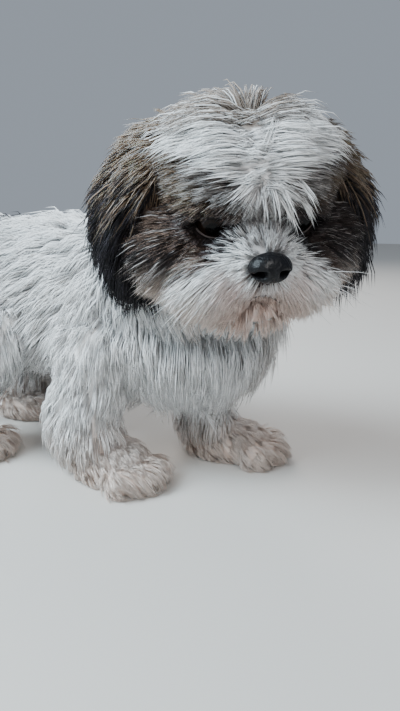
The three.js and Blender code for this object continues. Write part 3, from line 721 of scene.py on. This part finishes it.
def skin_links(tree):
    """The colour of the hair over it, finely creased."""
    tint = add(tree, "ShaderNodeAttribute", attribute_name="coat_colour")
    place = add(tree, "ShaderNodeTexCoord")
    crease = add(tree, "ShaderNodeTexNoise", [("Vector", place.outputs["Object"])], Scale=CREASES, Detail=4.0)
    bump = add(tree, "ShaderNodeBump", [("Height", crease.outputs["Fac"])], Strength=0.4, Distance=0.0006)
    return [("Base Color", tint.outputs["Color"]), ("Normal", bump.outputs[0])]


def mottled(tree, dark, light, scale, detail=2.0):
    """From one colour to the other in soft patches."""
    place = add(tree, "ShaderNodeTexCoord")
    patch = add(tree, "ShaderNodeTexNoise", [("Vector", place.outputs["Object"])], Scale=scale, Detail=detail)
    ends = dict(A=(*dark, 1), B=(*light, 1))
    shade = add(tree, "ShaderNodeMix", [("Factor", patch.outputs["Fac"])], data_type="RGBA", **ends)
    return [("Base Color", shade.outputs["Result"])]


def wet_material(name, colour, roughness, pebble=0.0, scale=NOSE_PEBBLES, coat=0.3):
    """Bare damp skin or horn: pebbled in small cells, in lighter and darker patches, with a wet film."""
    def links_of(tree):
        place = add(tree, "ShaderNodeTexCoord")
        at = [("Vector", place.outputs["Object"])]
        cells = add(tree, "ShaderNodeTexVoronoi", at, feature="SMOOTH_F1", Scale=scale)
        pebbles = [("Height", cells.outputs["Distance"])]
        bump = add(tree, "ShaderNodeBump", pebbles, Strength=pebble, Distance=0.0004)
        return mottled(tree, colour * 0.7, colour * 1.4, PATCHES, 3.0) + [("Normal", bump.outputs[0])]

    film = dict(Coat_Weight=coat, Coat_Roughness=0.15)
    return material(name, links_of, Roughness=roughness, Specular_IOR_Level=0.16, **film)


def eye_links(tree):
    """The colour rings of the eyeball."""
    tint = add(tree, "ShaderNodeAttribute", attribute_name="eye_colour")
    return [("Base Color", tint.outputs["Color"])]


def paper_links(tree):
    """A pale grey, mottled by 3 percent."""
    return mottled(tree, srgb("cfcac4") * 0.97, srgb("cfcac4"), MOTTLING)


# Hair gives the eye a soft satin sheen and lets some light through; skin is a matt ground between the hairs
HAIR = material(
    "soft_long_hair", hair_links, Roughness=0.6, IOR=1.55, Specular_IOR_Level=0.2,
    Subsurface_Weight=0.5, Subsurface_Radius=(1.0, 1.0, 1.0), Subsurface_Scale=0.001,
)
SKIN = material("skin_under_coat", skin_links, Roughness=0.7, Specular_IOR_Level=0.1)
# Nose leather is damp, pebbled and near black; the lids' and lips' skin is smooth, dark and moist
NOSE_LEATHER = wet_material("nose_leather", srgb("09090c"), 0.42, pebble=0.7, coat=0.12)
LID_RIM = wet_material("lid_rim_skin", srgb("17100e"), 0.3, pebble=0.1)
LOWER_LID = wet_material("lower_lid_skin", srgb("5d5350"), 0.45, pebble=0.1)
LIP = wet_material("lip_skin", srgb("271a18"), 0.5, pebble=0.2)
# Pads are dry and rough, claws smooth pale horn, and an eye near black with one sharp highlight
PAD = wet_material("paw_pad_skin", srgb("4a3431"), 0.75, pebble=0.8, scale=PAD_PEBBLES, coat=0.0)
CLAW_HORN = wet_material("claw_horn", srgb("a8988c"), 0.4, coat=0.1)
EYE = material(
    "wet_eye", eye_links, Roughness=0.6, Specular_IOR_Level=0.02,
    Coat_Weight=0.32, Coat_Roughness=0.03, Coat_IOR=1.38,
)


def give(obj, material, nodes):
    """The piece's material; it rides on the root, and the nodes that it replaces are hidden."""
    obj.data.materials.append(material)
    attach(obj, "root")
    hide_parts(*nodes)


# The skin: every form of the body melted into one surface
def skin_points():
    """All the closed forms of the body, each a grid, as one list of points and faces."""
    forms = [TORSO.grid(60, 56, -1), NECK.grid(40, 48, -1), HEAD.grid(70, 80)]
    forms += [JAW.grid(30, 36), TAIL.grid(40, 20)]
    forms += [ear.grid(36, 32, -4) for ear in EARS.values()]
    forms += [leg.grid(44, 32) for leg in LEGS.values()]
    forms += [paw.grid(48, 48) for paw in PAWS.values()]
    points, faces, start = [], [], 0
    for grid, corners in forms:
        points.append(grid)
        faces += [[i + start for i in face] for face in corners]
        start += len(grid)
    return np.concatenate(points), faces


def skin_colour(p):
    """The coat's colour over each place, a little pinker where that is pale; round the eyes and the nose the
    skin is bare and dark."""
    half = np.full(len(p), 0.5)
    ears = np.any([ear.holds(p, 1) for ear in EARS.values()], axis=0)
    tint = np.where(ears[:, None], ear_colour(p, half), markings_and_shade(p, half))
    tint = mix(tint, PINK, 0.05 * smooth(tint.mean(-1), 0.3, 0.7))
    q = in_head(p)
    eyes = np.hypot(np.abs(q[:, 0]) - EYE_S, (q[:, 2] - EYE_U) * 1.4)
    tint = mix(tint, EYE_SKIN, smooth(10.5 - eyes, 0, 2) * smooth(q[:, 1], 12, 20))
    nose = np.hypot(q[:, 0] * 0.8, np.maximum(np.abs(q[:, 2] + 14) - 5, 0))
    bare = smooth(7.5 - nose, 0, 2) * smooth(q[:, 1], 34, 38) * smooth(q[:, 2], -25, -22)
    return mix(tint, NOSE_SKIN, bare * smooth(-q[:, 2], 7, 10))


SKIN_VOXEL = 1.7


def make_skin():
    """Voxels melt the forms together. Then a point at r from an eye's middle moves to
    (r + lid) (1 - opening) + 0.72 R opening: the lids rise round the eyeball and open in front of it."""
    points, faces = skin_points()
    obj = new_object("skin", mesh_from("skin", points, faces))
    melt = obj.modifiers.new("melt", "REMESH")
    melt.mode, melt.voxel_size = "VOXEL", SKIN_VOXEL * MM
    even = obj.modifiers.new("even", "SMOOTH")
    even.factor, even.iterations = 0.5, 6
    graph = bpy.context.evaluated_depsgraph_get()
    mesh = bpy.data.meshes.new_from_object(obj.evaluated_get(graph))
    obj.modifiers.clear()
    obj.data = mesh
    co = np.zeros(len(mesh.vertices) * 3, np.float32)
    mesh.vertices.foreach_get("co", co)
    p = co.reshape(-1, 3) / MM - OFFSET
    p[:, 2] = np.maximum(p[:, 2], 0.5)
    q = in_head(p)
    for s in (-1, 1):
        eye = np.array([s * EYE_S, EYE_A, EYE_U])
        d = q - eye
        almond = np.hypot((d[:, 0] - s * 0.8) / 8.6, d[:, 2] / 5.6)
        opening = smooth(1 - almond, -0.12, 0.16) * (d[:, 1] > 0)
        round_eye = np.hypot(d[:, 0] / 9.5, d[:, 2] / 6.6)
        rim = np.exp(-(((round_eye - 1.25) / 0.3) ** 2)) * (d[:, 1] > 0)
        r = norm(d)
        lid = np.where(r < 24, rim * np.clip(EYE_R + 1.8 - r, -0.5, 3), 0)
        r_new = (r + lid) * (1 - opening) + (EYE_R * 0.72) * opening
        near = r < 16
        q[near] = (eye + d * (r_new / np.maximum(r, 1e-6))[:, None])[near]
    p = head_at(q)
    mesh.vertices.foreach_set("co", to_row(p).ravel())
    paint(mesh, "coat_colour", skin_colour(p))
    mesh.polygons.foreach_set("use_smooth", np.ones(len(mesh.polygons), bool))
    mesh.update()
    return obj


give(make_skin(), SKIN, ["head", "jaw", "neck", "torso", "tail", *EARS, *LEGS, *PAWS])


# The coat: for each area the hair's length, how far it stands off as a share of that, its width, the clump's
# radius, how much the tips lean together, the body's radius, and how it droops and sways
TRUNK = dict(length=23, stand=0.4, width=0.58, clump=3.4, lean=0.2, round=60, droop=0.1, sway=0.15)
RUFF = dict(length=26, stand=0.34, width=0.58, clump=3.4, lean=0.25, round=55, droop=0.12, sway=0.15)
CROWN = dict(length=head_length, stand=0.37, width=0.5, clump=2.6, lean=0.15, round=42, droop=0.03, rows=4,
             sway=0.1, stray=0.035, lift=over_lids)
FACE = dict(length=head_length, stand=0.33, width=0.42, clump=1.8, lean=0.2, round=42, droop=0.03,
            sway=0.12, root=0.4, lift=over_lids)
FRINGE = dict(length=15, stand=0.34, width=0.5, clump=1.6, lean=0.75, round=70, droop=0.1, rows=4, sway=0.1)
PARTING = dict(length=9, stand=0.4, width=0.45, clump=1.8, lean=0.1, round=42, droop=0.03, sway=0.1)
BEARD = dict(length=10, stand=0.35, width=0.5, clump=2.0, lean=0.3, round=40, droop=0.1, root=0.8)
EAR_COAT = dict(length=ear_length, stand=0.26, width=0.52, clump=3.0, lean=0.4, round=70, droop=0.08,
                vary=0.16, rows=4)
LEG_COAT = dict(length=17, stand=0.45, width=0.56, clump=3.0, lean=0.2, round=30, droop=0.1)
PAW_COAT = dict(length=9.5, stand=0.32, width=0.46, clump=1.8, lean=0.2, round=20, droop=0.1, root=0.6)
PLUME = dict(length=28, stand=0.35, width=0.6, clump=3.0, lean=0.4, round=60, droop=0.2, rows=4)


def lip_height(s):
    """How high the edge of the lips runs at s to the side: it falls away from the groove under the nose."""
    return -23.5 - 5.5 * (np.abs(s) / 8) ** 1.3


def clear_of_face(p):
    """No hair grows on the nose leather, on the lips' edge or in the opening of the lids."""
    q = in_head(p)
    nose = norm((q - [0, 46, -10.3]) / [7.7, 6.2, 6.0]) > 1
    off = np.stack([np.abs(q[:, 0]) - EYE_S, q[:, 1] - EYE_A, q[:, 2] - EYE_U], -1)
    lids = np.hypot((off[:, 0] - 0.8) / 8.9, off[:, 2] / 5.7) > 1
    mouth = (np.abs(q[:, 2] - lip_height(q[:, 0])) > 0.9) | (np.abs(q[:, 0]) > 8) | (q[:, 1] < 30)
    return nose & mouth & (lids | (norm(off) > 11.5) | (off[:, 1] < -4))


def on_face(p):
    """The short-haired part of the head."""
    q = in_head(p)
    return clear_of_face(p) & (q[:, 1] > 8) & (q[:, 2] < 12)


def over_stop(p):
    """Low on the brow, beside the middle."""
    q = in_head(p)
    return (np.abs(q[:, 0] - 6) < 7.5) & (q[:, 2] > 9) & (q[:, 2] < 15) & (q[:, 1] > 18)


def on_parting(p):
    """A band along the parting."""
    q = in_head(p)
    return (np.abs(q[:, 0] + 1) < 4.5) & (q[:, 2] > 11) & (q[:, 1] > 0)


def off_ears(gap):
    """Both ears with a gap: no hair springs inside their surface raised by it."""
    return [(ear, gap) for ear in EARS.values()]


MOST = 190000  # triangles in one piece


def coat_pieces(area, nodes, parts):
    """The hairs of one area as objects of fewer than MOST triangles each."""
    for rows in sorted({part["path"].shape[1] for part in parts}):
        alike = [part for part in parts if part["path"].shape[1] == rows]
        coat = {key: np.concatenate([part[key] for part in alike]) for key in alike[0]}
        count = len(coat["path"])
        pieces = -(-count * (6 * (rows - 2) + 4) // MOST)
        order = np.argsort(coat["path"][:, 0, 1], kind="stable")
        for k, pick in enumerate(np.array_split(order, pieces)):
            name = f"coat_{area}_{rows - 2}_{k + 1}"
            give(new_object(name, tuft_mesh(name, {key: coat[key][pick] for key in coat})), HAIR, nodes)


coat_pieces("trunk", ["torso"], [
    hairs(TORSO, 2300, 14, TRUNK, torso_lie, markings_and_shade, [(NECK, 2), (LEGS["foreleg_right"], -4)])])
coat_pieces("ruff", ["neck"], [
    hairs(NECK, 1600, 14, RUFF, neck_lie, markings_and_shade, [(HEAD, 5), (TORSO, -2), (JAW, 0)])])
coat_pieces("head", ["head"], [
    hairs(HEAD, 2100, 11, CROWN, head_lie, markings_and_shade, [*off_ears(-3), (NECK, -3)], clear_of_face),
    hairs(HEAD, 7200, 10, FACE, head_lie, markings_and_shade, off_ears(-1), on_face),
    hairs(HEAD, 1700, 8, FRINGE, fringe_lie, fringe_colour, [], over_stop),
    hairs(HEAD, 3000, 8, PARTING, parting_lie, markings_and_shade, [], on_parting)])
coat_pieces("jaw", ["jaw"], [
    hairs(JAW, 620, 10, BEARD, head_lie, markings_and_shade, [(HEAD, -1), (NECK, 0)])])
coat_pieces("ears", list(EARS), [
    hairs(ear, 560, 12, EAR_COAT, ear_lie, ear_colour, [(HEAD, -3), (NECK, -4)])
    for ear in EARS.values()])
coat_pieces("legs", list(LEGS), [
    hairs(leg, 470, 12, LEG_COAT, DOWN, markings_and_shade,
          [(TORSO, 0), (PAWS[name.replace("leg", "paw")], 0)])
    for name, leg in LEGS.items()])
coat_pieces("paws", list(PAWS), [
    hairs(paw, 700, 9, PAW_COAT, paw_lie(name), markings_and_shade, [(LEGS[name.replace("paw", "leg")], -1)])
    for name, paw in PAWS.items()])
coat_pieces("tail", ["tail"], [
    hairs(TAIL, 260, 12, PLUME, DOWN_AND_BACK, tail_colour, [(TORSO, 0)])])

# Eyes
def eyeball(s):
    """A sphere whose colour rings are centred on the gaze: pupil, iris with rays, and a dark rim. In front
    the cornea bulges by half a millimetre."""
    gaze = unit(np.array([s * 0.25, 1.0, -0.12]))
    one = unit(np.cross(gaze, [0, 0, 1.0]))
    local, fall, turn = globe(48, 64)
    d = local @ np.array([one, gaze, np.cross(one, gaze)])
    r = EYE_R + 0.5 * (1 - smooth(fall, 0.5, 0.95))
    points = head_at([s * EYE_S, EYE_A, EYE_U] + d * r[:, None])
    name = "eyeball_left" if s > 0 else "eyeball_right"
    obj = new_object(name, mesh_from("eyeball", points, ring_faces(47, 64)))
    rays = 0.5 + 0.5 * np.sin(turn * 31 + 3 * np.sin(turn * 7))
    iris = mix(srgb("0e0805"), srgb("22140c"), rays * 0.6)
    tint = mix(srgb("020202"), iris, smooth(fall, 0.33, 0.37))
    tint = mix(tint, srgb("0a0605"), smooth(fall, 0.72, 0.82))
    tint = mix(tint, srgb("1c1412"), smooth(fall, 1.15, 1.3))
    paint(obj.data, "eye_colour", tint)
    return obj


TUBE_SIDES = 10


def tube(name, path, radius):
    """A round section carried along a path, tapering as the radii say: path + radius (cos a one + sin a two).
    Its ends close in a point."""
    path, radius = np.asarray(path, float), np.asarray(radius, float)
    way = unit(np.gradient(path, axis=0))
    one = unit(np.cross(way, [0.21, 0.35, 0.91]))
    two = np.cross(way, one)
    a = angles(TUBE_SIDES)
    ring = one[:, None] * np.cos(a)[None, :, None] + two[:, None] * np.sin(a)[None, :, None]
    rings = path[:, None] + radius[:, None, None] * ring
    first, last = path[:1] - way[:1] * 0.01, path[-1:] + way[-1:] * radius[-1]
    points = np.concatenate([first, rings.reshape(-1, 3), last])
    return new_object(name, mesh_from(name, points, ring_faces(len(path), TUBE_SIDES)))


def lid_rim(s, upper):
    """The bare edge of one lid: half of an almond, 8.2 cos a across by 4.6 or 5.2 sin a high, on a
    sphere just outside the eyeball, thickest at its middle."""
    a = np.linspace(0, math.pi, 40) if upper else np.linspace(math.pi, 2 * math.pi, 40)
    across = s * 0.8 + 8.2 * np.cos(a)
    rise = (4.6 if upper else 5.2) * np.sin(a) * (1 - 0.2 * np.cos(a) ** 2) - 0.6 * np.cos(a) * s
    r = EYE_R + 0.5
    deep = np.sqrt(np.maximum(r * r - across**2 - rise**2, 1.0))
    path = head_at(np.stack([s * EYE_S + across, EYE_A + deep, EYE_U + rise], -1))
    name = f"{'upper' if upper else 'lower'}_lid_{'left' if s > 0 else 'right'}"
    return tube(name, path, 0.35 + (0.85 if upper else 0.1) * np.abs(np.sin(a)))


for s, node in ((-1, "eye_right"), (1, "eye_left")):
    give(eyeball(s), EYE, [node])
    give(lid_rim(s, True), LID_RIM, [node])
    give(lid_rim(s, False), LOWER_LID, [node])


# Nose: leather with two comma-shaped nostrils and a groove down its middle
def make_nose():
    """A rounded block, each direction's parts raised to the power 0.7: broad and flat above, narrower below,
    drawn in by bell curves at the nostrils, their slits and the middle groove, with a raised edge round each
    nostril."""
    d = globe(90, 120)[0]
    squared = unit(np.sign(d) * np.abs(d) ** 0.7)
    q = squared * [8.4, 5.4, 6.0] + [0, 45.6, -9.8]
    q[:, 0] *= 1 - 0.3 * smooth(-(q[:, 2] + 9.6), 0, 6.5)
    front = smooth(d[:, 1], 0.05, 0.5)
    for s in (-1, 1):
        x, z = q[:, 0] - s * 4.3, q[:, 2] + 9.6
        hole = np.exp(-((x / 1.7) ** 4) - ((z + 0.25 * s * x) / 1.3) ** 4)
        slit = np.exp(-(((q[:, 0] - s * 6.6) / 1.9) ** 2) - ((q[:, 2] + 10.6) / 0.8) ** 2)
        q[:, 1] -= front * (5.0 * hole + 2.6 * slit)
        q[:, 1] += front * 0.5 * np.exp(-((np.hypot(x / 3.4, z / 2.9) - 1) / 0.35) ** 2)
    q[:, 1] -= front * 0.9 * np.exp(-((q[:, 0] / 0.7) ** 2)) * smooth(-q[:, 2], 6, 11)
    return new_object("nose_leather", mesh_from("nose_leather", head_at(q), ring_faces(89, 120)))


give(make_nose(), NOSE_LEATHER, ["nose"])


def mouth_line():
    """The lips' edge: from under the nose down the groove, then out and back under each side of the moustache
    at lip_height, each point stepped ahead or back until it lies 1.6 mm above the head's surface."""
    paths = [np.array([[0, 45.6, -15], [0, 45.0, -18], [0, 44.2, -21], [0, 43.4, -23.5]])]
    for s in (-1, 1):
        side = s * np.linspace(0, 9, 24)
        front = columns(side, 44.0, lip_height(side))
        for _ in range(12):
            front[:, 1] -= np.where(HEAD.holds(head_at(front), 1.6), -0.4, 0.4)
        paths.append(front)
    return paths


LIP_STEPS = np.linspace(0, 1, 30)
for k, path in enumerate(mouth_line()):
    fine = columns(*[np.interp(LIP_STEPS, np.linspace(0, 1, len(path)), line) for line in path.T])
    give(tube(f"lip_{k + 1}", head_at(fine), np.linspace(0.9, 0.4, 30)), LIP, ["jaw"])


# Claws, pads and whiskers
def claw(name, number, k):
    """The claw of toe k curves forward as 7 sin(1.2 t) and down as t^1.6, and narrows to its point."""
    at, degrees = PAW_PLACES[name]
    t = np.linspace(0, 1, 12)
    reach = toe_front(k) + TOE_R - 3
    local = columns(k * TOE_APART, reach + 7 * np.sin(t * 1.2), 6.4 - 4.8 * t**1.6)
    return tube(f"claw_{name}_{number}", local @ paw_axes(degrees) + at, 1.35 * (1 - t**1.5 * 0.93))


def pad(name, number, place, size):
    """A cushion of bare skin under a paw: a globe of the given half sizes, cut flat where it stands."""
    at, degrees = PAW_PLACES[name]
    local = np.array(place) + globe(16, 24)[0][:, [0, 2, 1]] * size
    local[:, 2] = np.maximum(local[:, 2], 0.0)
    points = local @ paw_axes(degrees) + at
    return new_object(f"pad_{name}_{number}", mesh_from("pad", points, ring_faces(15, 24)))


for name in PAWS:
    for number, k in enumerate(TOES, 1):
        give(claw(name, number, k), CLAW_HORN, [name])
        give(pad(name, number, [k * TOE_APART, toe_front(k), 2.4], [3.6, 4.6, 2.5]), PAD, [name])
    give(pad(name, 5, [0, 6, 2.6], [10, 7, 2.8]), PAD, [name])


def whiskers():
    """Stiff hairs fan out from the moustache: each is root + way L t, and bends down by 6 mm at its tip."""
    count = 34
    s = np.where(np.arange(count) % 2 == 0, 1, -1)
    root = columns(s * rng.uniform(8, 18, count), rng.uniform(30, 39, count), rng.uniform(-26, -16, count))
    aside, ahead = rng.uniform(0.6, 1.0, count), rng.uniform(0.1, 0.6, count)
    way = unit(columns(s * aside, ahead, rng.uniform(-0.5, 0.25, count)))
    length = rng.uniform(22, 36, count)
    rows = np.array([0.0, 0.33, 0.68, 1.0])
    path = [head_at(root + way * (length * t)[:, None]) - np.array([0, 0, 6.0]) * t * t for t in rows]
    tint = mix(WHITE, BROWN, rng.uniform(0, 0.5, count))
    u0, v0, du, dv = SHEET["head"]
    flat = np.stack([u0 + du * rng.uniform(0.1, 0.2, count), v0 + dv * rng.uniform(0, 1, count)], -1)
    return dict(path=np.stack(path, 1), width=np.full(count, 0.32), flat=flat, tint=tint)


give(new_object("whiskers", tuft_mesh("whiskers", whiskers())), HAIR, ["head"])

# Floor, light and camera
floor_mesh = bpy.data.meshes.new("studio_floor")
floor_mesh.from_pydata([(-4, -4, 0), (4, -4, 0), (4, 4, 0), (-4, 4, 0)], [], [(0, 1, 2, 3)])
floor = new_object("studio_floor", floor_mesh)
# Matt paper, so that the eye sees only the floor's soft shadow
floor_mesh.materials.append(material("matt_paper_floor", paper_links, Roughness=0.9))

world = bpy.data.worlds.new("studio")
bpy.context.scene.world = world
world.use_nodes = True
background = world.node_tree.nodes["Background"]
background.inputs["Color"].default_value = (0.77, 0.87, 1.0, 1)
background.inputs["Strength"].default_value = 0.4


def soft_light(name, place, aim, size, power, colour):
    """A square light aimed at a point: place, aim and size in metres, power in watts."""
    data = bpy.data.lights.new(name, "AREA")
    data.size, data.energy, data.color = size, power, colour
    lamp = new_object(name, data)
    lamp.location = place
    x, y, z = np.array(place) - np.array(aim)
    lamp.rotation_euler = (math.atan2(math.hypot(x, y), z), 0, math.atan2(x, -y))


soft_light("window", (-0.75, 0.35, 0.85), (0, -0.05, 0.1), 0.7, 32, (0.75, 0.9, 1.0))
soft_light("front_fill", (-0.6, -0.8, 0.75), (0, -0.05, 0.12), 0.35, 4.5, (1.0, 0.98, 0.95))
soft_light("catch_light", (-0.42, -0.62, 0.42), (0, -0.1, 0.14), 0.05, 0.3, (1.0, 1.0, 1.0))
soft_light("back_rim", (0.8, 0.9, 0.9), (0, 0, 0.1), 0.8, 14, (1.0, 0.98, 0.96))

# The photo's camera: its place in the body's frame, 13.6 degrees down and turned to the dog's shoulder
camera_data = bpy.data.cameras.new("photo_camera")
camera_data.sensor_width, camera_data.lens = 36.0, 27.19
camera_data.clip_start, camera_data.clip_end = 0.01, 50
camera = new_object("photo_camera", camera_data)
camera.location = to_row([[-220, -240, 135]])[0].tolist()
camera.rotation_euler = (math.radians(90 - 13.6), 0, math.radians(-53.13))
bpy.context.scene.camera = camera

bpy.context.view_layer.update()
